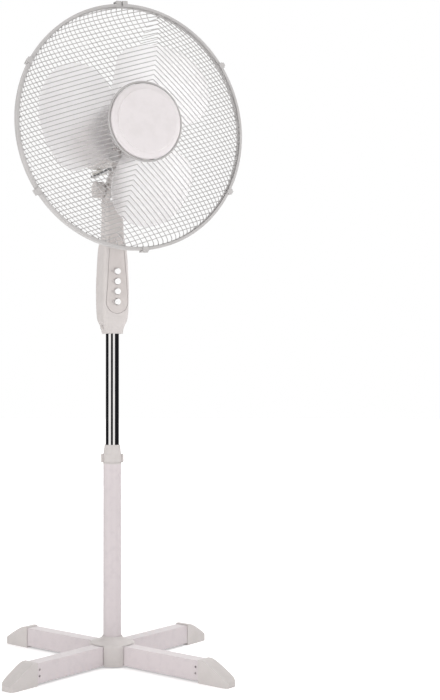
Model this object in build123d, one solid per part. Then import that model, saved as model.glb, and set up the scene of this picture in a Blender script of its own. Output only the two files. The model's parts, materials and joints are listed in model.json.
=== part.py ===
from build123d import *
import math
import os

# Pedestal fan. Millimetres, +Z up, origin on the floor under the pole, the fan blows towards -Y.

os.makedirs("parts", exist_ok=True)

# ---------------------------------------------------------------- driving dimensions
BASE_TURN = 25.8          # turn of the base cross about the pole
BAR_W = 26.0
BAR_BOTTOM = 4.0
BAR_TOP = 38.0
BAR_WALL = 1.2
BAR_HALF = 226.0
CAP_START = 208.0
CAP_END = 270.0
CAP_W = 29.0
HUB_R = 42.0

TUBE_R = 16.5
TUBE_IN = 15.5
TUBE_TOP = 366.0
POLE_R = 12.5
POLE_IN = 11.5
POLE_BOTTOM = 240.0
POLE_TOP = 640.0

TILT_Z = 871.5
NECK_Y = -22.0
INLET_Z = 656.0
AXIS_Z = 971.4
RIM_Y = -92.8
RIM_R = 220.0
HOOP_R = 215.8
HOOP_WIRE = 2.1
WIRE_R = 0.8
WIRE_END_R = 212.7
WIRE_SLOPE = 18.5         # lean of the guard wires on one side of the spine
SPINE = 78.5              # direction of the spine where the wires turn over
WIRE_STEP = 7.9
FRONT_RING_R = 69.0
REAR_RING_R = 53.0
FRONT_DEPTH = 55.0
REAR_DEPTH = 56.0
BADGE_R = 66.0

MODULE = 0.8
WHEEL_X = 20.5
WHEEL_Y = 66.0
CRANK_X = 1.3
CRANK_Y = 66.0
CRANK_THROW = 11.0
GAP = 0.3


def cyl_z(r, z0, z1, x=0.0, y=0.0):
    return Pos(x, y, (z0 + z1) / 2) * Cylinder(r, z1 - z0)


def cyl_y(r, y0, y1, x=0.0, z=AXIS_Z):
    return Pos(x, (y0 + y1) / 2, z) * Rot(90, 0, 0) * Cylinder(r, y1 - y0)


def cyl_x(r, x0, x1, y=0.0, z=TILT_Z):
    return Pos((x0 + x1) / 2, y, z) * Rot(0, 90, 0) * Cylinder(r, x1 - x0)


def block(x0, x1, y0, y1, z0, z1):
    return Pos((x0 + x1) / 2, (y0 + y1) / 2, (z0 + z1) / 2) * Box(x1 - x0, y1 - y0, z1 - z0)


def spun_z(points):
    face = make_face(Polyline([(r, 0, z) for r, z in points], close=True))
    return revolve(face, Axis.Z)


def spun_y(points):
    # (radius, y) points turned about the motor axis
    line = Polyline([(r, y, AXIS_Z) for r, y in points], close=True)
    return revolve(make_face(line), Axis((0, 0, AXIS_Z), (0, 1, 0)))


def solid_of(shape):
    solids = shape.solids()
    if len(solids) == 1:
        return solids[0]
    return Compound(children=list(solids))


def save(shape, name):
    shape = solid_of(shape)
    shape.label = name
    export_step(shape, "parts/" + name + ".step")


def rounded_section(w, t, r, z):
    return Pos(0, 0, z) * RectangleRounded(w, t, r)


# ---------------------------------------------------------------- base
def channel(length_half, hole_side):
    outer = block(-length_half, length_half, -BAR_W / 2, BAR_W / 2, BAR_BOTTOM, BAR_TOP)
    inner_half = BAR_W / 2 - BAR_WALL
    inner = block(-length_half - 1, length_half + 1, -inner_half, inner_half, BAR_BOTTOM - 1, BAR_TOP - BAR_WALL)
    bar = outer - inner
    for side in (-1, 1):
        for z in (16.0, 27.0):
            bar -= Pos(side * 202, side * hole_side * BAR_W / 2, z) * Rot(90, 0, 0) * Cylinder(2.0, 8)
        bar -= cyl_z(2.3, BAR_TOP - 4, BAR_TOP + 2, x=side * 22)
    for side in (-1, 1):
        end = block(215.8, 240, -20, 20, 32.6, 60)
        bar -= end if side > 0 else Rot(0, 0, 180) * end
    return bar


notch = BAR_W / 2 + GAP
middle = (BAR_TOP + BAR_BOTTOM) / 2
lower_bar = channel(BAR_HALF, 1) - block(-notch, notch, -40, 40, middle - 0.15, 60)
upper_bar = channel(BAR_HALF, -1) - block(-notch, notch, -40, 40, 0, middle + 0.15)
turn = Rot(0, 0, BASE_TURN)
save(turn * lower_bar, "cross_bar_lower")
save(turn * Rot(0, 0, 90) * upper_bar, "cross_bar_upper")


def foot_cap():
    top = Spline([(214, 40), (222, 38.3), (238, 30.2), (254, 20.6), (268.6, 11.0)],
                 tangents=[(1, 0), (0.83, -0.56)])
    rest = Polyline([(268.6, 11.0), (269.8, 9.4), (270, 7.5), (270, 2.0), (268.5, 0), (CAP_START, 0),
                     (CAP_START, 38.8), (209.2, 40), (214, 40)])
    side = make_face(top + rest)
    body = extrude(Plane.XZ * side, CAP_W / 2, both=True)
    body -= block(CAP_START - 1, 216, -13.2, 13.2, BAR_BOTTOM - 0.2, BAR_TOP + 0.2)
    body -= block(210, BAR_HALF + 1, -13.2, 13.2, BAR_BOTTOM - 0.2, 33.0)
    corner = block(240, 290, -30, 30, -5, 50) - extrude(
        Pos(0, 0, -5) * make_face(Polyline([(200, -14.6), (256, -14.6), (265, -13.0), (270.1, -8.5),
                                            (270.1, 8.5), (265, 13.0), (256, 14.6), (200, 14.6)],
                                           close=True)), 60)
    return body - corner


cap = foot_cap()
cap_names = ["foot_cap_front_right", "foot_cap_back_right", "foot_cap_back_left", "foot_cap_front_left"]
cap_turns = [BASE_TURN + 270, BASE_TURN, BASE_TURN + 90, BASE_TURN + 180]
for cap_name, cap_turn in zip(cap_names, cap_turns):
    save(Rot(0, 0, cap_turn) * cap, cap_name)

hub_outer = [(42.0, 2.5), (42.0, 36.0), (41.2, 38.4), (39.0, 40.0), (30.0, 42.4), (24.0, 44.9), (19.4, 48.4),
             (17.8, 51.0)]
hub_inner = [(16.9, 51.0), (16.9, 48.6), (22.6, 43.4), (29.2, 40.8), (38.2, 38.5), (40.4, 36.0), (40.4, 2.5)]
hub = spun_z(hub_outer + hub_inner)
for quarter in (0, 90):
    hub -= Rot(0, 0, quarter) * block(-60, 60, -BAR_W / 2 - 1.0, BAR_W / 2 + 1.0, 0, BAR_TOP + 0.7)
save(turn * hub, "hub_cover")

flange = cyl_z(27.0, BAR_TOP, 40.5) + cyl_z(15.4, 40.5, 78.0) - cyl_z(13.4, BAR_TOP - 1, 80)
screw_at = [(22, 0), (-22, 0), (0, 22), (0, -22)]
screws = []
for sx, sy in screw_at:
    flange -= cyl_z(2.3, 30, 45, sx, sy)
    flange -= Pos(sx, sy, 39.6) * Cone(2.3, 4.2, 1.9)
    screw = cyl_z(2.1, 30.0, 39.0, sx, sy) + Pos(sx, sy, 39.6) * Cone(2.1, 3.9, 1.6)
    screw -= Pos(sx, sy, 40.2) * Box(4.0, 0.8, 0.8)
    screws.append(screw.solids()[0])
save(turn * flange, "pole_flange")
save(turn * Compound(children=screws), "base_screws")

save(cyl_z(TUBE_R, 40.5, TUBE_TOP) - cyl_z(TUBE_IN, 40, TUBE_TOP + 1), "lower_pole")

collet = cyl_z(15.45, 332, 366) + cyl_z(16.5, 366, 368) + cyl_z(13.9, 368, 389)
for k in range(7):
    low = 370 + 2.6 * k
    collet += spun_z([(13.8, low), (14.3, low + 0.5), (14.3, low + 1.2), (13.8, low + 1.7)])
collet -= cyl_z(12.8, 330, 400)
collet -= block(-20, 20, -0.8, 0.8, 372, 400)
collet -= block(-0.8, 0.8, -20, 20, 372, 400)
save(collet, "pole_collet")

# ---------------------------------------------------------------- collar nut
collar = spun_z([(16.5, 368.4), (16.5, 384.0), (16.1, 384.9), (14.5, 400.0), (14.0, 401.0), (12.9, 401.0),
                 (12.9, 392.4), (14.65, 390.0), (14.65, 368.4)])
wing = Pos(18.2, 0, 376.3) * Box(5.2, 9.0, 15.4)
wing = fillet(wing.edges().filter_by(Axis.Z), 1.4)
wings = Rot(0, 0, -23) * (wing + Rot(0, 0, 180) * wing) - cyl_z(16.2, 360, 390)
collar += wings
for k in range(10):
    collar -= Rot(0, 0, 36.0 * k + 13) * Pos(16.9, 0, 376) * Cylinder(0.8, 14)
save(collar, "collar_nut")

bush = cyl_z(15.2, 236, 272) - cyl_z(12.56, 239.9, 280) - cyl_z(9, 230, 250)
save(bush, "pole_guide_bush")

# ---------------------------------------------------------------- column
save(cyl_z(POLE_R, POLE_BOTTOM, POLE_TOP) - cyl_z(POLE_IN, POLE_BOTTOM - 1, POLE_TOP + 1), "chrome_pole")

# height, width, depth and corner radius of the control housing
HOUSING = [(606, 35, 33, 10), (618, 39, 36, 10), (632, 48, 44, 9), (647, 50.2, 46, 8), (684, 51.5, 47.5, 8),
           (730, 49, 45, 8), (764, 45.5, 41, 8), (785, 38.0, 34.6, 8), (813, 36, 32.5, 8), (841, 35, 31, 8),
           (886, 35, 31, 8)]


def eased(column, z):
    # a smooth curve through the stations that never swings past them
    zs = [row[0] for row in HOUSING]
    vs = [row[column] for row in HOUSING]
    rates = [(vs[i + 1] - vs[i]) / (zs[i + 1] - zs[i]) for i in range(len(zs) - 1)]
    slopes = [0.0]
    for before, after in zip(rates, rates[1:]):
        slopes.append(0.0 if before * after <= 0 else 2 * before * after / (before + after))
    slopes.append(0.0)
    k = max(i for i in range(len(zs) - 1) if zs[i] <= z)
    h = zs[k + 1] - zs[k]
    u = (z - zs[k]) / h
    return (vs[k] * (1 + 2 * u) * (1 - u) ** 2 + slopes[k] * h * u * (1 - u) ** 2
            + vs[k + 1] * u * u * (3 - 2 * u) + slopes[k + 1] * h * u * u * (u - 1))


def housing_loft(inset, z_low, z_high):
    faces = []
    levels = [606, 609, 612, 615, 618, 621, 624, 627, 630, 634, 638, 643, 648, 656, 665, 675, 684, 695, 707, 719, 730,
              740, 750, 757, 764, 768, 772, 776, 780, 785, 792, 800, 813, 841, 886]
    for z in levels:
        w, t, r = eased(1, z), eased(2, z), eased(3, z)
        zz = z_low if z == 606 else z_high if z == 886 else z
        faces.append(rounded_section(w - 2 * inset, t - 2 * inset, r - inset, zz).face())
    return loft(faces, ruled=True)


outer = housing_loft(0.0, 606, 886)
inner = housing_loft(2.4, 605, 845)
inner &= block(-60, 60, -60, 60, 609, 848)
recess_floor = housing_loft(1.4, 605, 887)
wall_middle = housing_loft(1.9, 606, 845)
panel_back = housing_loft(1.2, 605, 887)


def teardrop(grow):
    low = Pos(0, 664) * Circle(21.0 + grow)
    high = Pos(0, 778) * Circle(13.0 + grow)
    outline = make_hull((low + high).edges())
    wedge = extrude(Plane.XZ * outline, 60)
    return wedge


# round the top of the fork
shell = outer - inner
dome = cyl_x(15.8, -30, 30, 0, TILT_Z - 1.3) + block(-30, 30, -40, 40, 500, TILT_Z - 1.3)
shell = shell & dome
shell += cyl_z(14.6, 609, 642) & block(-60, 60, -60, 60, 608, 645)
shell -= cyl_z(POLE_R + 0.02, 600, 641)
shell -= cyl_z(POLE_IN, 600, 650)
shell += block(-17.0, 17.0, -14.2, 14.2, 842, 850)
shell -= block(-10.3, 10.3, -40, 40, 850.5, 900)
shell -= cyl_x(3.1, -30, 30)
shell += cyl_x(4.6, 16.8, 21.0, 0, 882.5) & block(0, 30, -20, 20, 870, 900)
shell -= (outer - recess_floor) & teardrop(0.9)
BUTTON_Z = [664.0, 683.0, 701.5, 720.0]
for bz in BUTTON_Z:
    shell -= cyl_y(6.2, -40, -12, 0, bz)
shell -= cyl_x(4.3, -40, -15, 0, 618)
shell -= cyl_x(4.05, -40, -10, 0, 618)
SCREW_AT = [(-17.5, 655.0), (17.5, 655.0), (0.0, 748.0)]
for sx, sz in SCREW_AT:
    boss = cyl_y(3.4, -30, 30, sx, sz)
    boss = boss & wall_middle
    shell += boss
    shell -= cyl_y(1.55, -12, 40, sx, sz)
    shell -= cyl_y(3.1, 15.0, 40, sx, sz)
shell -= cyl_y(4.3, 16.5, 40, 0, INLET_Z)

front_half = shell & block(-60, 60, -60, 3.9, 600, 900)
rear_half = shell & block(-60, 60, 4.1, 60, 600, 900)


def biggest(shape):
    return max(shape.solids(), key=lambda s: s.volume)


save(biggest(front_half), "control_housing_front")
save(biggest(rear_half), "control_housing_rear")

panel = (outer - panel_back) & teardrop(0.0)
for bz in BUTTON_Z:
    panel -= cyl_y(6.2, -40, -12, 0, bz)
for bz in BUTTON_Z:
    ring = cyl_y(7.6, -24.6, -22.4, 0, bz) - cyl_y(6.2, -40, 0, 0, bz)
    panel += ring & housing_loft(-0.35, 605, 887) & block(-30, 30, -40, 0, 600, 800)
save(biggest(panel), "control_panel")

switch = block(-11, 11, -8.5, 8.0, 652, 736)
for bz in BUTTON_Z:
    switch -= cyl_y(4.0, -9, -3.0, 0, bz)
for k in range(5):
    switch += block(-3, 3, 8.0, 12.0, 662 + 15 * k, 663 + 15 * k)
save(switch, "switch_block")

capacitor = block(-11, 11, -8, 8, 766, 800)
capacitor = fillet(capacitor.edges().filter_by(Axis.Z), 3)
save(capacitor, "run_capacitor")

inlet = cyl_y(6.0, 23.6, 25.4, 0, INLET_Z) + cyl_y(4.2, 17.0, 24.0, 0, INLET_Z) - cyl_y(3.2, 10, 30, 0, INLET_Z)
save(inlet, "cord_inlet_bush")

screws = []
for sx, sz in SCREW_AT:
    one = cyl_y(1.5, -10, 15.2, sx, sz) + cyl_y(2.9, 15.05, 17.2, sx, sz)
    one -= Pos(sx, 17.0, sz) * Box(3.6, 0.8, 0.7)
    one -= Pos(sx, 17.0, sz) * Box(0.7, 0.8, 3.6)
    screws.append(one.solids()[0])
save(Compound(children=screws), "housing_screws")

lock = cyl_x(4.0, -22.4, -12.6, 0, 618)
lock -= block(-22.6, -21.4, -0.7, 0.7, 612, 624)
save(lock, "pole_lock_screw")

tilt_bolt = cyl_x(3.0, -31.0, 18.5) + Pos(20.0, 0, TILT_Z) * Rot(0, 90, 0) * extrude(RegularPolygon(6.0, 6), 1.8, both=True)
save(tilt_bolt, "tilt_bolt")

names = ["button_off", "button_low", "button_medium", "button_high"]
for name, bz in zip(names, reversed(BUTTON_Z)):
    button = cyl_y(5.5, -28.6, -12.6, 0, bz) + cyl_y(3.6, -12.6, -8.9, 0, bz)
    button = fillet([e for e in button.edges() if e.center().Y < -28], 1.0)
    button -= Pos(0, -37.0, bz) * Sphere(8.9)
    button += cyl_y(7.0, -17.4, -16.0, 0, bz)
    save(button, name)

knob = cyl_x(15.0, -36.0, -20.5) + cyl_x(9.0, -20.5, -17.9)
for k in range(12):
    a = math.radians(30 * k)
    knob -= cyl_x(2.2, -40, -21.6, 16.2 * math.cos(a), TILT_Z + 16.2 * math.sin(a))
knob = knob - cyl_x(3.3, -32.0, -10)
save(knob, "tilt_knob")

# ---------------------------------------------------------------- neck
tongue = cyl_x(13.0, -10, 10)
side = make_face(Polyline([(-13.0, TILT_Z), (13.0, TILT_Z), (12.2, 880.0), (3.0, 893.0), (-12.0, 904.5), (-22.0, 904.5),
                           (-22.0, 889.0), (-12.5, 880.0)], close=True))
neck = tongue + extrude(Plane.YZ * side, 10, both=True)
neck += cyl_z(10.0, 888.5, 904.5, 0, NECK_Y)
neck += cyl_z(7.4, 904.5, 910.6, 0, NECK_Y)
neck += cyl_z(5.0, 910.6, 938.0, 0, NECK_Y)
neck += block(-14, 0, NECK_Y - 3.2, NECK_Y + 3.2, 898.5, 904.5) + cyl_z(3.2, 898.5, 904.5, -14, NECK_Y)
neck += cyl_z(2.4, 904.5, 910.2, -14, NECK_Y)
neck -= cyl_x(3.1, -20, 20)
save(neck, "tilt_neck")

# ---------------------------------------------------------------- motor
A = AXIS_Z
front_cover = spun_y([(16, -33), (44.0, -33), (47.5, -31.0), (49.0, -27), (50, 10), (48, 10), (47, -26), (45.5, -29.2),
                      (43, -30.8), (16, -30.8)])
front_cover += cyl_y(22, -44.5, -32) - cyl_y(16, -50, -20)
front_cover += cyl_z(9.6, 911.2, 937.0, 0, NECK_Y)
front_cover -= cyl_z(5.06, 900, 945, 0, NECK_Y)
save(biggest(front_cover), "motor_cover_front")

rear_cover = spun_y([(50, 10.2), (50, 60), (48.8, 78), (44.5, 93), (36, 102), (24, 106), (0.0, 107), (0.0, 105),
                     (23.6, 104), (34.9, 100.2), (42.9, 91.8), (46.9, 77.6), (48, 60), (48, 10.2)])
for k in range(16):
    a = 22.5 * k + 11.25
    slot = Pos(0, 0, A) * Rot(0, a, 0) * Pos(27, 104, 0) * Box(17, 18, 3.2)
    rear_cover -= slot
for k in (-3, -2, -1, 1, 2, 3):
    for level in (24, 34):
        a = 90 + 16 * k
        rear_cover -= Pos(0, level, A) * Rot(0, a, 0) * Pos(49, 0, 0) * Box(8, 6.0, 3.0)
rear_cover -= cyl_z(5.2, 1000, 1030, WHEEL_X, WHEEL_Y)
rear_cover -= cyl_z(6.4, 910, 930, CRANK_X, CRANK_Y)
save(biggest(rear_cover), "motor_cover_rear")


def bracket(y0, y1, seat0, seat1):
    plate = cyl_y(46.6, y0, y1) + cyl_y(12.5, seat0, seat1)
    plate -= cyl_y(8.0, -80, 80)
    for k in range(6):
        a = math.radians(60 * k + 30)
        plate -= cyl_y(9.0, y0 - 1, y1 + 1, 28 * math.cos(a), A + 28 * math.sin(a))
    for k in range(4):
        a = math.radians(90 * k + 45)
        plate -= cyl_y(1.7, -80, 80, 43.6 * math.cos(a), A + 43.6 * math.sin(a))
    return plate


save(bracket(-11.5, -8.5, -11.5, -3.5), "motor_front_bracket")
save(bracket(38.5, 41.5, 36.0, 44.0), "motor_rear_bracket")

core = cyl_y(40, 4, 28) - cyl_y(21.6, 0, 40)
for k in range(16):
    a = 22.5 * k
    core -= Pos(0, 16, A) * Rot(0, a, 0) * Pos(29, 0, 0) * Box(9.5, 40, 5.0)
    core -= Pos(0, 16, A) * Rot(0, a, 0) * Pos(23, 0, 0) * Box(6, 40, 1.6)
save(core, "stator_core")

coils = []
for y0, y1 in ((-5.0, 3.7), (28.3, 35.6)):
    coil = cyl_y(35.5, y0, y1) - cyl_y(24.0, -10, 50)
    coil = fillet(coil.edges(), 2.4)
    coils.append(coil.solids()[0])
save(Compound(children=coils), "stator_windings")

bearings = []
for y0, y1 in ((-11.0, -4.0), (36.5, 43.5)):
    bearings.append((cyl_y(7.98, y0, y1) - cyl_y(4.05, -80, 80)).solids()[0])
save(Compound(children=bearings), "motor_bearings")

screws = []
for k in range(4):
    a = math.radians(90 * k + 45)
    x, z = 43.6 * math.cos(a), A + 43.6 * math.sin(a)
    one = cyl_y(1.6, -16, 44.0, x, z) + cyl_y(2.9, -13.8, -11.6, x, z) + cyl_y(2.8, 41.6, 43.6, x, z)
    screws.append(one.solids()[0])
save(Compound(children=screws), "motor_screws")

case = cyl_y(45.6, 46, 90) - cyl_y(43.6, 48, 88)
case -= cyl_y(5.9, 40, 60)
case -= cyl_z(4.6, 990, 1030, WHEEL_X, WHEEL_Y)
case -= cyl_z(6.2, 910, 939, CRANK_X, CRANK_Y)
case &= cyl_y(45.6, 46, 78) + cyl_y(40, 46, 90) + spun_y([(0, 77), (45.6, 77), (39.5, 90), (0, 90)])
save(biggest(case), "gearbox_case")


# ---------------------------------------------------------------- gears
def gear_face(teeth, thick=0.40, head=0.8, foot=1.0):
    pitch_r = MODULE * teeth / 2
    points = []
    for k in range(teeth):
        mid = 2 * math.pi * k / teeth
        half = math.pi / teeth * thick
        slope = 0.36
        for radius, sign in ((pitch_r - foot, -1), (pitch_r + head, -1), (pitch_r + head, 1), (pitch_r - foot, 1)):
            extra = (pitch_r - radius) * slope / pitch_r
            ang = mid + sign * (half + extra)
            points.append((radius * math.cos(ang), radius * math.sin(ang)))
    return make_face(Polyline(points, close=True))


wheel_turn = 180.0 + 180.0 / 40
wheel = Pos(WHEEL_X, WHEEL_Y, A - 2.5) * Rot(0, 0, wheel_turn) * extrude(gear_face(40, thick=0.36), 5.0)
wheel += cyl_z(6.0, A - 7.0, A + 7.0, WHEEL_X, WHEEL_Y)
wheel -= cyl_z(2.6, A - 20, A + 20, WHEEL_X, WHEEL_Y)
save(wheel, "worm_wheel")

line_up = math.degrees(math.atan2(CRANK_Y - WHEEL_Y, CRANK_X - WHEEL_X))
pinion = Pos(WHEEL_X, WHEEL_Y, 939.5) * Rot(0, 0, line_up) * extrude(gear_face(12, thick=0.38, head=0.7, foot=0.9), 7.0)
pinion += cyl_z(2.5, 939.5, 1004.0, WHEEL_X, WHEEL_Y)
pinion += cyl_z(5.0, A - 9.0, A - 7.2, WHEEL_X, WHEEL_Y)
save(pinion, "clutch_pinion")

half_tooth = 180.0 / 36
crank = Pos(CRANK_X, CRANK_Y, 940.0) * Rot(0, 0, line_up + 180 + half_tooth) * extrude(
    gear_face(36, thick=0.38, head=0.7, foot=0.9), 5.0)
crank += cyl_z(5.8, 917.0, 940.5, CRANK_X, CRANK_Y)
crank += cyl_z(14.5, 913.0, 917.0, CRANK_X, CRANK_Y)
crank += cyl_z(2.5, 904.6, 913.5, CRANK_X - CRANK_THROW, CRANK_Y)
save(crank, "crank_gear")

ax, ay = -14.0, NECK_Y
bx, by = CRANK_X - CRANK_THROW, CRANK_Y
length = math.hypot(bx - ax, by - ay)
lean = math.degrees(math.atan2(by - ay, bx - ax))
rod = block(0, length, -3.0, 3.0, 905.4, 909.4)
rod += cyl_z(4.0, 905.4, 909.4) + cyl_z(6.6, 905.4, 909.4, length, 0)
rod -= cyl_z(2.5, 900, 915) + cyl_z(3.9, 900, 915, length, 0)
save(Pos(ax, ay, 0) * Rot(0, 0, lean) * rod, "link_rod")

osc = cyl_z(7.0, 1026.0, 1037.0, WHEEL_X, WHEEL_Y)
osc = fillet([e for e in osc.edges() if e.center().Z > 1036], 2.0)
for k in range(10):
    a = math.radians(36 * k)
    osc -= cyl_z(0.9, 1028, 1045, WHEEL_X + 7.5 * math.cos(a), WHEEL_Y + 7.5 * math.sin(a))
osc += cyl_z(4.0, 1011.0, 1026.5, WHEEL_X, WHEEL_Y)
save(osc, "oscillation_knob")

# ---------------------------------------------------------------- rotor and blade
WORM_Y = WHEEL_Y
PITCH = math.pi * MODULE
shaft = cyl_y(4.0, -130, 49.0) + cyl_y(3.4, 49.0, 78.0)
thread_len = PITCH * 6
path = Helix(PITCH, thread_len, 3.3)
tooth = Polyline([(3.3, 0, -0.78), (5.2, 0, -0.30), (5.2, 0, 0.30), (3.3, 0, 0.78)], close=True)
thread = sweep(make_face(tooth), path, is_frenet=True)
thread = Pos(0, WORM_Y, A) * Rot(-90, 0, 0) * Rot(0, 0, 0) * Pos(0, 0, -thread_len / 2) * thread
shaft += thread
save(biggest(shaft), "motor_shaft")

rotor = cyl_y(21.0, 4, 28) - cyl_y(4.01, 0, 40)
save(rotor, "rotor_core")

BLADE_MID = 184.0
outline_polar = [(127, 62), (125, 84), (127, 110), (132, 136.5), (139.5, 158.6), (150.2, 173.9), (160.4, 179.4),
                 (172.1, 177.7), (184, 170.8), (198.6, 158.8), (211.8, 145.2), (219, 129), (222.5, 108.3),
                 (227.5, 87.4), (236, 64)]


def blade_y(r, t):
    lean_ratio = (t - BLADE_MID) / 60.0
    twist = 24.0 - 6.0 * (r - 60.0) / 120.0
    sag = 6.0 * lean_ratio * lean_ratio
    return -84.0 + twist * lean_ratio + sag - 3.0 * (r - 110.0) / 100.0


def one_blade():
    grid = []
    for i in range(8):
        r = 26.0 + (182.0 - 26.0) * i / 7
        row = []
        for j in range(11):
            t = BLADE_MID - 72 + 144.0 * j / 10
            a = math.radians(t)
            row.append(Vector(r * math.cos(a), blade_y(r, t), A + r * math.sin(a)))
        grid.append(row)
    sheet = Face.make_surface_from_array_of_points(grid)
    plate = thicken(sheet, 1.0, both=True)
    pts = [(r * math.cos(math.radians(t)), r * math.sin(math.radians(t))) for t, r in outline_polar]
    edge = Spline(pts)
    root = Polyline([pts[-1], (28 * math.cos(math.radians(232)), 28 * math.sin(math.radians(232))),
                     (28 * math.cos(math.radians(131)), 28 * math.sin(math.radians(131))), pts[0]])
    face = make_face(edge + root)
    cutter = Pos(0, 0, A) * extrude(Plane.XZ * face, 100, both=True)
    cutter &= block(-200, 200, -130, -40, A - 200, A + 200)
    return plate & Pos(0, -0.0, 0) * cutter


hub_part = spun_y([(4.02, -112), (30, -112), (34, -109), (36, -103), (36, -64), (34, -64), (34, -102), (32, -107),
                   (29, -109.6), (12, -109.6), (12, -70), (4.02, -70)])
for k in range(6):
    rib = Pos(0, 0, A) * Rot(0, 60 * k, 0) * block(11, 34.6, -110, -72, -0.9, 0.9)
    hub_part += rib
single = one_blade()
single = biggest(single - cyl_y(34.5, -140, -30))
for k in range(3):
    hub_part += Pos(0, 0, A) * Rot(0, 120 * k, 0) * Pos(0, 0, -A) * single
save(biggest(hub_part), "blade")

nut = cyl_y(9.0, -128, -112.3) - cyl_y(4.03, -140, -100)
for k in range(8):
    a = math.radians(45 * k)
    nut -= cyl_y(1.4, -140, -116, 9.6 * math.cos(a), A + 9.6 * math.sin(a))
save(nut, "blade_nut")


# ---------------------------------------------------------------- guards
def front_y(r):
    q = min(1.0, max(0.0, r / WIRE_END_R))
    return RIM_Y - 3.0 - FRONT_DEPTH * (1 - q ** 2.3) ** 0.62


def rear_y(r):
    q = min(1.0, max(0.0, r / WIRE_END_R))
    return RIM_Y + 3.0 + REAR_DEPTH * (1 - q ** 2.6) ** 0.56


def half_wires(angle, side_sign, inner_r, dome, spine_gap):
    # straight runs in the front view at the given lean, kept on one side of the spine
    wires = []
    ca, sa = math.cos(math.radians(angle)), math.sin(math.radians(angle))
    sp = (math.cos(math.radians(SPINE)), math.sin(math.radians(SPINE)))
    count = int(WIRE_END_R / WIRE_STEP)
    for n in range(-count, count + 1):
        off = (n + 0.5) * WIRE_STEP
        if abs(off) > WIRE_END_R - 2.5:
            continue
        half = math.sqrt(WIRE_END_R ** 2 - off ** 2)
        # the run meets the spine where cross((p), spine) is zero
        cross_dir = ca * sp[1] - sa * sp[0]
        cross_off = (-sa * off) * sp[1] - (ca * off) * sp[0]
        s_spine = -cross_off / cross_dir
        if side_sign * cross_dir > 0:
            lo, hi = max(-half, s_spine + spine_gap), half
        else:
            lo, hi = -half, min(half, s_spine - spine_gap)
        spans = [(lo, hi)]
        if abs(off) < inner_r:
            clear = inner_r + 0.9 * abs(off) / inner_r
            hole = math.sqrt(clear ** 2 - off ** 2)
            spans = [(lo, min(hi, -hole)), (max(lo, hole), hi)]
        for s0, s1 in spans:
            if s1 - s0 < 9.0:
                continue
            wires.append(run_solid(ca, sa, off, s0, s1, dome))
    return wires


def run_solid(ca, sa, off, s0, s1, dome):
    count = 10
    pts = []
    for i in range(count):
        u = (1 - math.cos(math.pi * i / (count - 1))) / 2
        s = s0 + (s1 - s0) * u
        x = ca * s - sa * off
        z = sa * s + ca * off
        pts.append(Vector(x, dome(math.hypot(x, z)), A + z))
    path = Spline(pts)
    start = Plane(origin=path @ 0, z_dir=path % 0)
    return sweep(start * Circle(WIRE_R), path).solids()[0]


def hoop(radius, y, wire_r):
    line = Pos(radius, y, A) * Circle(wire_r)
    return revolve(line, Axis((0, 0, A), (0, 1, 0)))


front_wires = half_wires(WIRE_SLOPE, -1, FRONT_RING_R + 2.1, front_y, 0.06)
front_wires += half_wires(2 * SPINE - WIRE_SLOPE, 1, FRONT_RING_R + 2.1, front_y, 0.06)
save(Compound(children=front_wires), "front_guard_wires")

frame = [hoop(HOOP_R, RIM_Y - 2.9, HOOP_WIRE).solids()[0]]
frame.append(hoop(FRONT_RING_R, front_y(FRONT_RING_R), 2.0).solids()[0])
save(Compound(children=frame), "front_guard_frame")

rear_wires = half_wires(WIRE_SLOPE, 1, REAR_RING_R + 2.0, rear_y, 0.06)
rear_wires += half_wires(2 * SPINE - WIRE_SLOPE, -1, REAR_RING_R + 2.0, rear_y, 0.06)
save(Compound(children=rear_wires), "rear_guard_wires")

plate = cyl_y(50.7, -34.6, -33.3) - cyl_y(22.6, -40, -30)
for k in range(12):
    plate -= Pos(0, -34, A) * Rot(0, 30 * k, 0) * Pos(37, 0, 0) * Box(14, 6, 5)
frame = [hoop(HOOP_R, RIM_Y + 2.9, HOOP_WIRE).solids()[0], plate.solids()[0]]
frame.append(hoop(REAR_RING_R - 0.2, rear_y(REAR_RING_R), 2.0).solids()[0])
save(Compound(children=frame), "rear_guard_frame")

guard_nut = cyl_y(33.0, -43.5, -34.9) - cyl_y(22.3, -50, -30)
for k in range(8):
    a = math.radians(45 * k)
    guard_nut -= cyl_y(3.4, -50, -37.4, 34.5 * math.cos(a), A + 34.5 * math.sin(a))
save(guard_nut, "guard_nut")

badge = spun_y([(0.0, -159.0), (54.6, -159.0), (55.6, -158.4), (56.2, -157.4), (57.2, -157.4), (62.0, -155.6),
                (65.4, -153.0), (66.0, -150.6), (66.0, -144.6), (64.0, -144.6), (64.0, -150.4), (61.0, -153.6),
                (55.0, -156.4), (0.0, -157.0)])
for k in range(6):
    badge += Pos(0, 0, A) * Rot(0, 60 * k + 18.5, 0) * block(64.5, 69.5, -145.8, -144.6, -4, 4)
save(badge, "badge_plate")

ring = spun_y([(214.8, -99.0), (219.2, -99.0), (220.0, -98.2), (220.0, -87.4), (219.2, -86.6), (214.8, -86.6),
               (214.8, -87.6), (218.6, -87.6), (218.6, -98.0), (214.8, -98.0)])
block_at = Rot(0, -96, 0)
lugs = block(219.0, 225.0, -99.5, -86.1, -11.0, 11.0)
lug_turn = Pos(0, 0, A) * block_at
ring += lug_turn * lugs
ring -= lug_turn * (block(213.0, 230.0, -102, -84, -1.2, 1.2) + (Pos(222.2, -92.8, 0) * Cylinder(1.5, 40)))
save(biggest(ring), "guard_rim_ring")

screw = Pos(222.2, -92.8, 0) * Cylinder(1.3, 24) + Pos(222.2, -92.8, 11.9) * Cylinder(2.0, 1.6)
screw += Pos(222.2, -92.8, -11.9) * Cylinder(2.0, 1.6)
save(lug_turn * screw, "guard_rim_screw")

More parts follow.
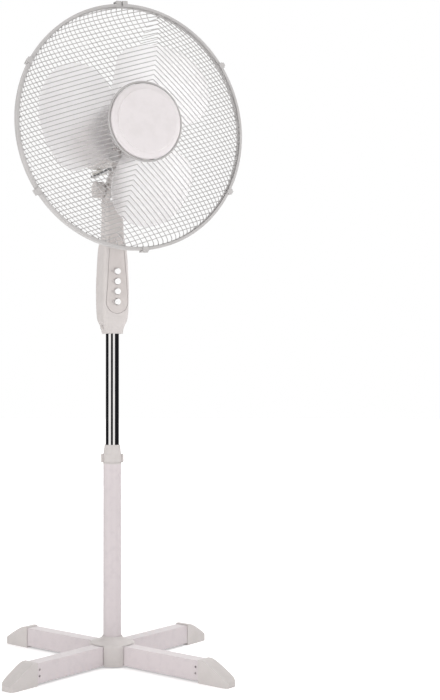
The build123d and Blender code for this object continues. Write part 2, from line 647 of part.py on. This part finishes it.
clip_names = ["rim_clip_upper_right", "rim_clip_upper_left", "rim_clip_lower_left", "rim_clip_bottom", "rim_clip_lower_right"]
for name, a in zip(clip_names, (36, 153, 215, 276, 332)):
    clip = block(220.3, 222.2, -101.2, -84.6, -5.5, 5.5) + block(214.6, 222.2, -101.2, -99.4, -5.5, 5.5)
    clip += Pos(221.4, -84.2, 0) * Cylinder(1.9, 11.0) & block(219, 226, -90, -80, -5.5, 5.5)
    clip += block(222.0, 224.8, -101.2, -96.4, -3.5, 3.5)
    clip = Pos(0, 0, A) * Rot(0, -a, 0) * clip
    save(clip, name)
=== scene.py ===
import json
import math

import bmesh
import bpy
from mathutils import Matrix, Vector


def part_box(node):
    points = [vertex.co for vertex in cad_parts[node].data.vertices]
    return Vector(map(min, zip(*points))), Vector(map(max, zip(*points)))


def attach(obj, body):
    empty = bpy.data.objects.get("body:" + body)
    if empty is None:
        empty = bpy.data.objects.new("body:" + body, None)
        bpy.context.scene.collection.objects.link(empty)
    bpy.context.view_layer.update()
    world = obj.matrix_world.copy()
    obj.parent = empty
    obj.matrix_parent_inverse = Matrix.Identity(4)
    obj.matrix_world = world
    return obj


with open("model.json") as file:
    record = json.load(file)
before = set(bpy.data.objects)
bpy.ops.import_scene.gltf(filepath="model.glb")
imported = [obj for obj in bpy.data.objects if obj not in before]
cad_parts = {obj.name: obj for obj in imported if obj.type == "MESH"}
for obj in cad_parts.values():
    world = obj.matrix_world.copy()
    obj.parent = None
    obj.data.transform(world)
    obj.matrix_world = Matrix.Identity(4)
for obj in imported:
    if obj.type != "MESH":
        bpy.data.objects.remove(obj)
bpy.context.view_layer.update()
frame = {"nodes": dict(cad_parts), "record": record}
nodes = frame["nodes"]
scene = bpy.context.scene

AXIS_Z = 0.9714          # height of the blade shaft
WIRE_END_R = 0.2125      # where the guard wires stop, from the shaft
BEAD_R = 0.00125         # a weld bead on the end of a wire
BEAD_PLACE_R = 0.2135
BEAD_STRETCH = (1.5, 1.0, 1.15, 1.0)
FIGURE_SIZE = 0.0042
FIGURE_X = -0.0105
FIGURE_HEIGHTS = (0.720, 0.7015, 0.683, 0.664)
FLOOR_R = 14.0
SCENE_MIDDLE = (0.0, 0.0, 0.6)
CAMERA_PLACE = (-0.857, -2.027, 0.519)
CAMERA_HEADING = (0.397, 0.918, 0.0)
CAMERA_PITCH = 1.4814    # degrees up


# ---------------------------------------------------------------- material building blocks
class Shade:
    """One node material: a Principled shader with its texture nodes."""

    def __init__(self, name, stretch=(1.0, 1.0, 1.0), metal=0.0):
        self.mat = bpy.data.materials.new(name)
        self.mat.use_nodes = True
        self.tree = self.mat.node_tree
        self.bsdf = self.tree.nodes["Principled BSDF"]
        self.bsdf.inputs["Metallic"].default_value = metal
        coord = self.tree.nodes.new("ShaderNodeTexCoord")
        mapping = self.tree.nodes.new("ShaderNodeMapping")
        mapping.inputs["Scale"].default_value = stretch
        self.tree.links.new(coord.outputs["Object"], mapping.inputs["Vector"])
        self.place = mapping.outputs["Vector"]
        self.object_place = coord.outputs["Object"]

    def noise(self, scale, detail=3.0, rough=0.55, place=None):
        made = self.tree.nodes.new("ShaderNodeTexNoise")
        made.inputs["Scale"].default_value = scale
        made.inputs["Detail"].default_value = detail
        made.inputs["Roughness"].default_value = rough
        self.tree.links.new(place or self.place, made.inputs["Vector"])
        return made.outputs["Fac"]

    def voronoi(self, scale):
        made = self.tree.nodes.new("ShaderNodeTexVoronoi")
        made.inputs["Scale"].default_value = scale
        self.tree.links.new(self.place, made.inputs["Vector"])
        return made.outputs["Distance"]

    def bands(self, scale, distortion):
        """Stripes across the Y direction."""
        made = self.tree.nodes.new("ShaderNodeTexWave")
        made.bands_direction = "Y"
        made.inputs["Scale"].default_value = scale
        made.inputs["Distortion"].default_value = distortion
        self.tree.links.new(self.object_place, made.inputs["Vector"])
        return made.outputs["Fac"]

    def spread(self, factor, low, high, start=0.3, end=0.7):
        made = self.tree.nodes.new("ShaderNodeMapRange")
        made.inputs["From Min"].default_value = start
        made.inputs["From Max"].default_value = end
        made.inputs["To Min"].default_value = low
        made.inputs["To Max"].default_value = high
        self.tree.links.new(factor, made.inputs["Value"])
        return made.outputs["Result"]

    def blend(self, factor, first, second, start=0.3, end=0.7):
        made = self.tree.nodes.new("ShaderNodeValToRGB")
        made.color_ramp.elements[0].position = start
        made.color_ramp.elements[0].color = (*first, 1.0)
        made.color_ramp.elements[1].position = end
        made.color_ramp.elements[1].color = (*second, 1.0)
        self.tree.links.new(factor, made.inputs["Fac"])
        return made.outputs["Color"]

    def multiply(self, a, b, amount=1.0):
        made = self.tree.nodes.new("ShaderNodeMix")
        made.data_type = "RGBA"
        made.blend_type = "MULTIPLY"
        made.inputs[0].default_value = amount
        self.tree.links.new(a, made.inputs[6])
        self.tree.links.new(b, made.inputs[7])
        return made.outputs[2]

    def colour(self, output):
        self.tree.links.new(output, self.bsdf.inputs["Base Color"])

    def rough(self, output):
        self.tree.links.new(output, self.bsdf.inputs["Roughness"])

    def bump(self, *heights):
        # each height is (output, depth in metres)
        last = None
        for output, depth in heights:
            made = self.tree.nodes.new("ShaderNodeBump")
            made.inputs["Strength"].default_value = 1.0
            made.inputs["Distance"].default_value = depth
            self.tree.links.new(output, made.inputs["Height"])
            if last is not None:
                self.tree.links.new(last, made.inputs["Normal"])
            last = made.outputs["Normal"]
        self.tree.links.new(last, self.bsdf.inputs["Normal"])


def moulded(name, light, dark, rough=(0.34, 0.48), grain=0.000012):
    """Plastic with a fine grain, slow tone changes and faint smudges."""
    s = Shade(name)
    broad = s.noise(7.0, 4.0)
    tone = s.blend(broad, dark, light, 0.32, 0.66)
    smudge = s.blend(s.noise(48.0, 5.0, 0.65), (0.955, 0.955, 0.95), (1.0, 1.0, 1.0), 0.36, 0.56)
    s.colour(s.multiply(tone, smudge))
    s.rough(s.spread(s.noise(90.0, 4.0), rough[0], rough[1]))
    s.bump((s.noise(1900.0, 2.0), grain), (s.noise(160.0, 2.0), grain * 1.6))
    s.bsdf.inputs["IOR"].default_value = 1.49
    return s.mat


def painted(name, light, dark, rough=(0.3, 0.42), sheen=0.0):
    """Painted or coated metal with a light orange peel."""
    s = Shade(name)
    tone = s.blend(s.noise(5.0, 3.0), dark, light, 0.34, 0.64)
    marks = s.blend(s.noise(70.0, 5.0, 0.7), (0.95, 0.95, 0.955), (1.0, 1.0, 1.0), 0.36, 0.52)
    s.colour(s.multiply(tone, marks))
    s.rough(s.spread(s.noise(60.0, 4.0), rough[0], rough[1]))
    s.bump((s.noise(620.0, 2.0), 0.00003), (s.noise(2600.0, 1.0), 0.000008))
    s.bsdf.inputs["Coat Weight"].default_value = 0.12
    s.bsdf.inputs["Sheen Weight"].default_value = sheen
    s.bsdf.inputs["Sheen Roughness"].default_value = 0.35
    s.bsdf.inputs["Coat Roughness"].default_value = 0.2
    return s.mat


def bare_metal(name, light, dark, rough, scale=380.0):
    s = Shade(name, metal=1.0)
    s.colour(s.blend(s.noise(scale * 0.2, 4.0), dark, light, 0.3, 0.66))
    s.rough(s.spread(s.noise(scale, 4.0, 0.65), rough[0], rough[1]))
    s.bump((s.noise(scale * 2.0, 3.0), 0.00001))
    return s.mat


def make_chrome():
    """Chrome drawn along the pole: the fine marks are stretched in height."""
    s = Shade("chrome_finish", (1.0, 1.0, 0.02), 1.0)
    cloud = s.noise(60.0, 3.0, place=s.object_place)
    s.colour(s.blend(cloud, (0.80, 0.80, 0.81), (0.86, 0.855, 0.85), 0.35, 0.65))
    s.rough(s.spread(s.noise(900.0, 3.0), 0.035, 0.085))
    s.bump((s.noise(1500.0, 2.0), 0.0000012))
    return s.mat


def make_blade():
    s = Shade("blade_finish")
    s.colour(s.blend(s.noise(11.0, 4.0), (0.88, 0.865, 0.87), (0.93, 0.92, 0.925), 0.34, 0.66))
    s.rough(s.spread(s.noise(70.0, 4.0), 0.44, 0.56))
    s.bump((s.noise(1500.0, 2.0), 0.00002), (s.noise(30.0, 2.0), 0.0001))
    s.bsdf.inputs["Transmission Weight"].default_value = 0.8
    s.bsdf.inputs["IOR"].default_value = 1.2
    return s.mat


def make_lamination():
    s = Shade("lamination_finish", metal=1.0)
    layers = s.bands(330.0, 0.3)
    tone = s.blend(layers, (0.12, 0.12, 0.13), (0.34, 0.34, 0.36), 0.2, 0.8)
    s.colour(s.multiply(tone, s.blend(s.noise(150.0, 4.0), (0.7, 0.62, 0.55), (1.0, 1.0, 1.0), 0.36, 0.55)))
    s.rough(s.spread(s.noise(300.0, 3.0), 0.4, 0.6))
    s.bump((layers, 0.00008))
    return s.mat


def make_copper():
    s = Shade("copper_finish", metal=0.85)
    turns = s.bands(260.0, 4.0)
    tone = s.blend(turns, (0.30, 0.12, 0.05), (0.74, 0.38, 0.19), 0.2, 0.75)
    s.colour(s.multiply(tone, s.blend(s.noise(200.0, 3.0), (0.8, 0.75, 0.7), (1.0, 1.0, 1.0), 0.35, 0.6)))
    s.rough(s.spread(s.noise(240.0, 3.0), 0.28, 0.42))
    s.bump((turns, 0.00025))
    s.bsdf.inputs["Coat Weight"].default_value = 0.4
    return s.mat


def make_cast():
    s = Shade("cast_finish", metal=1.0)
    s.colour(s.blend(s.noise(90.0, 4.0), (0.48, 0.48, 0.49), (0.70, 0.70, 0.71), 0.3, 0.68))
    s.rough(s.spread(s.noise(210.0, 4.0), 0.42, 0.62))
    s.bump((s.voronoi(700.0), 0.00005), (s.noise(1500.0, 2.0), 0.00002))
    return s.mat


finish = {
    "white_plastic": moulded("plastic_finish", (0.600, 0.565, 0.552), (0.570, 0.540, 0.528)),
    "white_paint": painted("paint_finish", (0.640, 0.585, 0.597), (0.612, 0.562, 0.573), sheen=0.4),
    # guard wire colour, darker than the rear guard's copy: painted shade on the front guard
    "white_wire": painted("wire_finish", (0.45, 0.44, 0.435), (0.38, 0.37, 0.365), (0.32, 0.42)),
    "chrome": make_chrome(),
    "blade_plastic": make_blade(),
    "panel_plastic": moulded(
        "panel_finish", (0.575, 0.535, 0.520), (0.550, 0.514, 0.500), (0.42, 0.54), 0.00002),
    "button_plastic": moulded(
        "button_finish", (0.88, 0.88, 0.88), (0.84, 0.84, 0.84), (0.2, 0.3), 0.000006),
    "inner_plastic": moulded("nylon_finish", (0.66, 0.65, 0.60), (0.58, 0.57, 0.53), (0.4, 0.55)),
    "steel": bare_metal("steel_finish", (0.62, 0.62, 0.63), (0.45, 0.45, 0.46), (0.26, 0.42)),
    "aluminium": make_cast(),
    "lamination": make_lamination(),
    "copper": make_copper(),
    "bronze": bare_metal("bronze_finish", (0.66, 0.47, 0.25), (0.50, 0.34, 0.17), (0.34, 0.5), scale=520.0),
}
slot_of = {row["node"]: row["material_slot"] for row in frame["record"]["subparts"]}


def dress(obj, mat):
    if not obj.data.materials:
        obj.data.materials.append(mat)
    for i in range(len(obj.data.materials)):
        obj.data.materials[i] = mat


for name, obj in nodes.items():
    dress(obj, finish[slot_of[name]])

# pieces of the same plastic or wire painted in lighter or darker copies of their colour: painted light and
# painted shade
# badge plate and blade nut: a lighter copy of the white plastic, painted light
bright = moulded("lit_plastic_copy_finish", (0.700, 0.665, 0.672), (0.680, 0.648, 0.655), (0.3, 0.4), 0.000008)
for name in ("badge_plate", "blade_nut"):
    dress(nodes[name], bright)
# rear guard wires and frame: a lighter copy of the guard wire colour, painted light; the front guard keeps
# the darker copy as painted shade
lit_rear_wire = painted("rear_wire_finish", (0.64, 0.63, 0.625), (0.58, 0.57, 0.565), (0.32, 0.42))
for name in ("rear_guard_wires", "rear_guard_frame"):
    dress(nodes[name], lit_rear_wire)
# guard rim ring and its clips: a darker copy of the white plastic, painted shade
shaded_rim_plastic = moulded("shaded_rim_plastic_finish", (0.50, 0.488, 0.483), (0.46, 0.450, 0.447))
for name in nodes:
    if name.startswith("rim_clip") or name == "guard_rim_ring":
        dress(nodes[name], shaded_rim_plastic)


# ---------------------------------------------------------------- small pieces added to the CAD
def piece_from(bm, name, slot_name, body):
    mesh = bpy.data.meshes.new(name)
    bm.to_mesh(mesh)
    bm.free()
    for poly in mesh.polygons:
        poly.use_smooth = True
    obj = bpy.data.objects.new(name, mesh)
    scene.collection.objects.link(obj)
    dress(obj, finish[slot_name])
    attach(obj, body)
    return obj


def wire_ends(wires):
    """Where the wires stop at the rim: the angle and y of each end, found from the wires themselves."""
    near = []
    for v in nodes[wires].data.vertices:
        r = math.hypot(v.co.x, v.co.z - AXIS_Z)
        if r > WIRE_END_R - 0.0009:
            near.append((math.atan2(v.co.z - AXIS_Z, v.co.x), r, v.co.y))
    near.sort()
    groups = []
    for item in near:
        if groups and item[0] - groups[-1][-1][0] < 0.0011 / WIRE_END_R:
            groups[-1].append(item)
        else:
            groups.append([item])
    found = []
    for group in groups:
        angle = sum(g[0] for g in group) / len(group)
        y = sum(g[2] for g in group) / len(group)
        found.append((angle, y))
    return found


def weld_beads(name, wires):
    bm = bmesh.new()
    for angle, y in wire_ends(wires):
        x = BEAD_PLACE_R * math.cos(angle)
        z = AXIS_Z + BEAD_PLACE_R * math.sin(angle)
        turn = Matrix.Rotation(-angle, 4, "Y")
        place = Matrix.Translation((x, y, z)) @ turn @ Matrix.Diagonal(BEAD_STRETCH)
        bmesh.ops.create_icosphere(bm, subdivisions=1, radius=BEAD_R, matrix=place)
    piece_from(bm, name, "white_wire", "motor_head")


weld_beads("front_rim_welds", "front_guard_wires")
weld_beads("rear_rim_welds", "rear_guard_wires")


def mark(name, text, z):
    """A small printed figure lying on the face of the control panel."""
    curve = bpy.data.curves.new(name, "FONT")
    curve.body = text
    curve.size = FIGURE_SIZE
    curve.align_x = "CENTER"
    curve.align_y = "CENTER"
    curve.extrude = 0.00006
    obj = bpy.data.objects.new(name, curve)
    scene.collection.objects.link(obj)
    hit, where, _, _ = nodes["control_panel"].ray_cast(Vector((FIGURE_X, -0.1, z)), Vector((0, 1, 0)))
    y = where.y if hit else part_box("control_panel")[0].y
    place = Matrix.Translation((FIGURE_X, y - 0.00005, z)) @ Matrix.Rotation(math.radians(90), 4, "X")
    bpy.context.view_layer.update()
    mesh = bpy.data.meshes.new_from_object(obj.evaluated_get(bpy.context.evaluated_depsgraph_get()))
    mesh.transform(place)
    flat = bpy.data.objects.new(name + "_mesh", mesh)
    bpy.data.objects.remove(obj)
    scene.collection.objects.link(flat)
    dress(flat, ink)
    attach(flat, "column")


ink = moulded("ink_finish", (0.30, 0.29, 0.29), (0.24, 0.235, 0.235), (0.4, 0.5))
for figure, z in zip("0123", FIGURE_HEIGHTS):
    mark("button_figure_" + figure, figure, z)


# ---------------------------------------------------------------- floor, light and camera
def make_floor():
    """A pale floor that glows a little more far away, so that it meets the white backdrop."""
    bpy.ops.mesh.primitive_circle_add(vertices=128, radius=FLOOR_R, fill_type="NGON", location=(0, 0, 0))
    floor = bpy.context.active_object
    floor.name = "floor"
    s = Shade("floor_finish")
    s.colour(s.blend(s.noise(1.5, 3.0), (0.86, 0.86, 0.86), (0.89, 0.885, 0.885), 0.3, 0.7))
    s.rough(s.spread(s.noise(8.0, 3.0), 0.75, 0.9))
    s.bsdf.inputs["Specular IOR Level"].default_value = 0.1
    s.bsdf.inputs["Emission Color"].default_value = (1.0, 1.0, 1.0, 1.0)
    gradient = s.tree.nodes.new("ShaderNodeTexGradient")
    gradient.gradient_type = "SPHERICAL"
    nearer = s.tree.nodes.new("ShaderNodeMapping")
    nearer.inputs["Scale"].default_value = (0.3, 0.3, 0.3)
    s.tree.links.new(s.object_place, nearer.inputs["Vector"])
    s.tree.links.new(nearer.outputs["Vector"], gradient.inputs["Vector"])
    glow = s.spread(gradient.outputs["Fac"], 0.75, 0.34, 0.1, 0.9)
    s.tree.links.new(glow, s.bsdf.inputs["Emission Strength"])
    dress(floor, s.mat)
    floor.visible_glossy = False


make_floor()


def make_world():
    """White to the eye, tall soft boxes on dark cloth in gloss, and grey for other light."""
    world = bpy.data.worlds.new("studio")
    scene.world = world
    world.use_nodes = True
    tree = world.node_tree
    ground = tree.nodes["Background"]
    coord = tree.nodes.new("ShaderNodeTexCoord")
    parts = tree.nodes.new("ShaderNodeSeparateXYZ")
    tree.links.new(coord.outputs["Generated"], parts.inputs[0])
    turn = tree.nodes.new("ShaderNodeMath")
    turn.operation = "ARCTAN2"
    tree.links.new(parts.outputs["X"], turn.inputs[0])
    tree.links.new(parts.outputs["Y"], turn.inputs[1])
    share = tree.nodes.new("ShaderNodeMath")
    share.operation = "MULTIPLY_ADD"
    share.inputs[1].default_value = 1 / (2 * math.pi)
    share.inputs[2].default_value = 0.5
    tree.links.new(turn.outputs[0], share.inputs[0])
    ramp = tree.nodes.new("ShaderNodeValToRGB")
    ramp.color_ramp.interpolation = "LINEAR"
    tree.links.new(share.outputs[0], ramp.inputs["Fac"])
    # the soft boxes' headings, in degrees round from +Y
    boxes = [(-133.0, -91.0), (158.0, 200.0), (-200.0, -169.0), (-12.0, 50.0)]
    stops = []
    for low, high in boxes:
        stops += [(low - 1.2, 0), (low + 1.2, 1), (high - 1.2, 1), (high + 1.2, 0)]
    stops = sorted(((h / 360.0 + 0.5), on) for h, on in stops if -180 < h < 180)
    line = ramp.color_ramp
    line.elements[0].position = 0.0
    line.elements[0].color = (1.0, 0.985, 0.97, 1)
    line.elements[1].position = 1.0
    line.elements[1].color = (1.0, 0.985, 0.97, 1)
    for at, on in stops:
        made = line.elements.new(min(max(at, 0.0), 1.0))
        made.color = (1.0, 0.985, 0.97, 1) if on else (0.012, 0.012, 0.014, 1)
    rays = tree.nodes.new("ShaderNodeLightPath")
    high = tree.nodes.new("ShaderNodeMapRange")
    high.inputs["From Min"].default_value = 0.55
    high.inputs["From Max"].default_value = 0.85
    tree.links.new(parts.outputs["Z"], high.inputs["Value"])
    over = tree.nodes.new("ShaderNodeMix")
    over.data_type = "RGBA"
    over.inputs[7].default_value = (0.75, 0.75, 0.75, 1)
    tree.links.new(high.outputs["Result"], over.inputs[0])
    tree.links.new(ramp.outputs["Color"], over.inputs[6])
    # grey for diffuse light, the boxes for gloss
    glossy = tree.nodes.new("ShaderNodeMix")
    glossy.data_type = "RGBA"
    glossy.inputs[6].default_value = (0.62, 0.61, 0.61, 1)
    tree.links.new(rays.outputs["Is Glossy Ray"], glossy.inputs[0])
    tree.links.new(over.outputs[2], glossy.inputs[7])
    # white where the backdrop is seen, straight or through the frosted blades
    seen = tree.nodes.new("ShaderNodeMix")
    seen.data_type = "RGBA"
    seen.inputs[7].default_value = (1.0, 1.0, 1.0, 1)
    most = tree.nodes.new("ShaderNodeMath")
    most.operation = "MAXIMUM"
    tree.links.new(rays.outputs["Is Camera Ray"], most.inputs[0])
    tree.links.new(rays.outputs["Is Transmission Ray"], most.inputs[1])
    tree.links.new(most.outputs[0], seen.inputs[0])
    tree.links.new(glossy.outputs[2], seen.inputs[6])
    tree.links.new(seen.outputs[2], ground.inputs["Color"])
    ground.inputs["Strength"].default_value = 1.0


make_world()


def area(name, place, target, size, power, tint=(1.0, 1.0, 1.0)):
    data = bpy.data.lights.new(name, "AREA")
    data.shape = "RECTANGLE"
    data.size, data.size_y = size
    data.energy = power
    data.color = tint
    obj = bpy.data.objects.new(name, data)
    scene.collection.objects.link(obj)
    obj.location = place
    obj.rotation_mode = "QUATERNION"
    obj.rotation_quaternion = (Vector(target) - Vector(place)).to_track_quat("-Z", "Y")
    obj.visible_glossy = False
    obj.visible_camera = False
    obj.visible_transmission = False
    return obj


area("key", (-3.2, -1.0, 1.7), SCENE_MIDDLE, (1.2, 2.6), 38.0, (1.0, 0.99, 0.98))
area("fill", (2.6, -2.4, 1.3), SCENE_MIDDLE, (1.2, 2.6), 28.0, (1.0, 0.99, 0.985))
area("top", (0.4, 0.2, 3.4), (0.0, 0.0, 0.5), (2.4, 2.4), 22.0)
area("back_right", (1.0, 0.55, 1.25), (0.12, -0.05, 1.0), (0.5, 0.7), 4.0)
area("right", (0.75, -0.24, 1.0), (0.15, -0.12, 0.97), (0.3, 0.6), 1.6)
# a small panel behind the right half of the guard, which shows only through the frosted blades
behind = area("behind", (0.544, 0.854, 1.198), CAMERA_PLACE, (0.17, 0.44), 0.19)
behind.visible_transmission = True

lens = bpy.data.cameras.new("camera")
lens.lens = 61.15
lens.sensor_width = 36.0
lens.shift_x = 0.14
lens.clip_start = 0.05
lens.clip_end = 60.0
camera = bpy.data.objects.new("camera", lens)
scene.collection.objects.link(camera)
camera.location = CAMERA_PLACE
heading = Vector(CAMERA_HEADING).normalized()
pitch = math.radians(CAMERA_PITCH)
forward = heading * math.cos(pitch) + Vector((0, 0, math.sin(pitch)))
camera.rotation_mode = "QUATERNION"
camera.rotation_quaternion = forward.to_track_quat("-Z", "Y")
scene.camera = camera
scene.view_settings.view_transform = "Standard"
